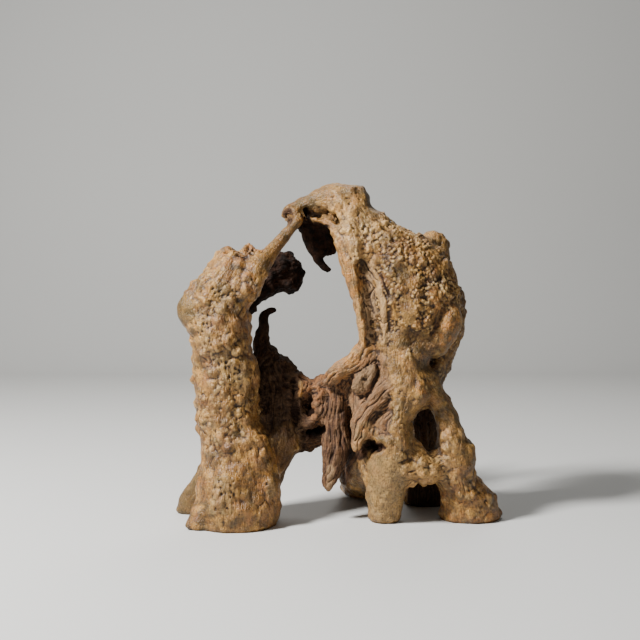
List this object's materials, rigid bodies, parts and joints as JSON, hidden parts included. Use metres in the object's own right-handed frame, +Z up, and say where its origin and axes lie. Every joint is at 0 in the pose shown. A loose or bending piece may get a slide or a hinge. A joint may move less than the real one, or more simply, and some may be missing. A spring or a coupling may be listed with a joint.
{
  "type": "root sculpture",
  "caption": "Gnarled tree root standing as an arch on its own feet, with burl knobs, bare split shards, a thin link branch at the top and an open window in the middle.",
  "frame": {"origin": "on the ground, at the middle of the root's width and depth", "axes": "+X to the right as seen from the front, +Y to the back, +Z up"},
  "size_m": [0.3838, 0.2071, 0.3904],
  "materials": {
    "burl_skin": "golden tan burl skin, oiled to a soft sheen, with paler knobs and dark pits",
    "bare_wood": "weathered bare wood with deep grain grooves, matt",
    "dark_wood": "dark rotted inner wood, rough and matt"
  },
  "bodies": {
    "root": {"edge_strand": "burl_skin", "right_trunk": "burl_skin", "left_pillar": "burl_skin", "crown": "burl_skin", "front_leg": "burl_skin", "right_leg": "burl_skin", "lump_band": "burl_skin", "link_branch": "burl_skin", "left_heel": "burl_skin", "shoulder_stub": "burl_skin", "back_leg": "burl_skin", "cross_root": "bare_wood", "mid_root": "bare_wood", "long_shard": "bare_wood", "curled_shard": "bare_wood", "spur": "dark_wood", "back_knob": "dark_wood", "hanging_hook": "dark_wood", "hanging_plate": "dark_wood"}
  },
  "joints": []
}
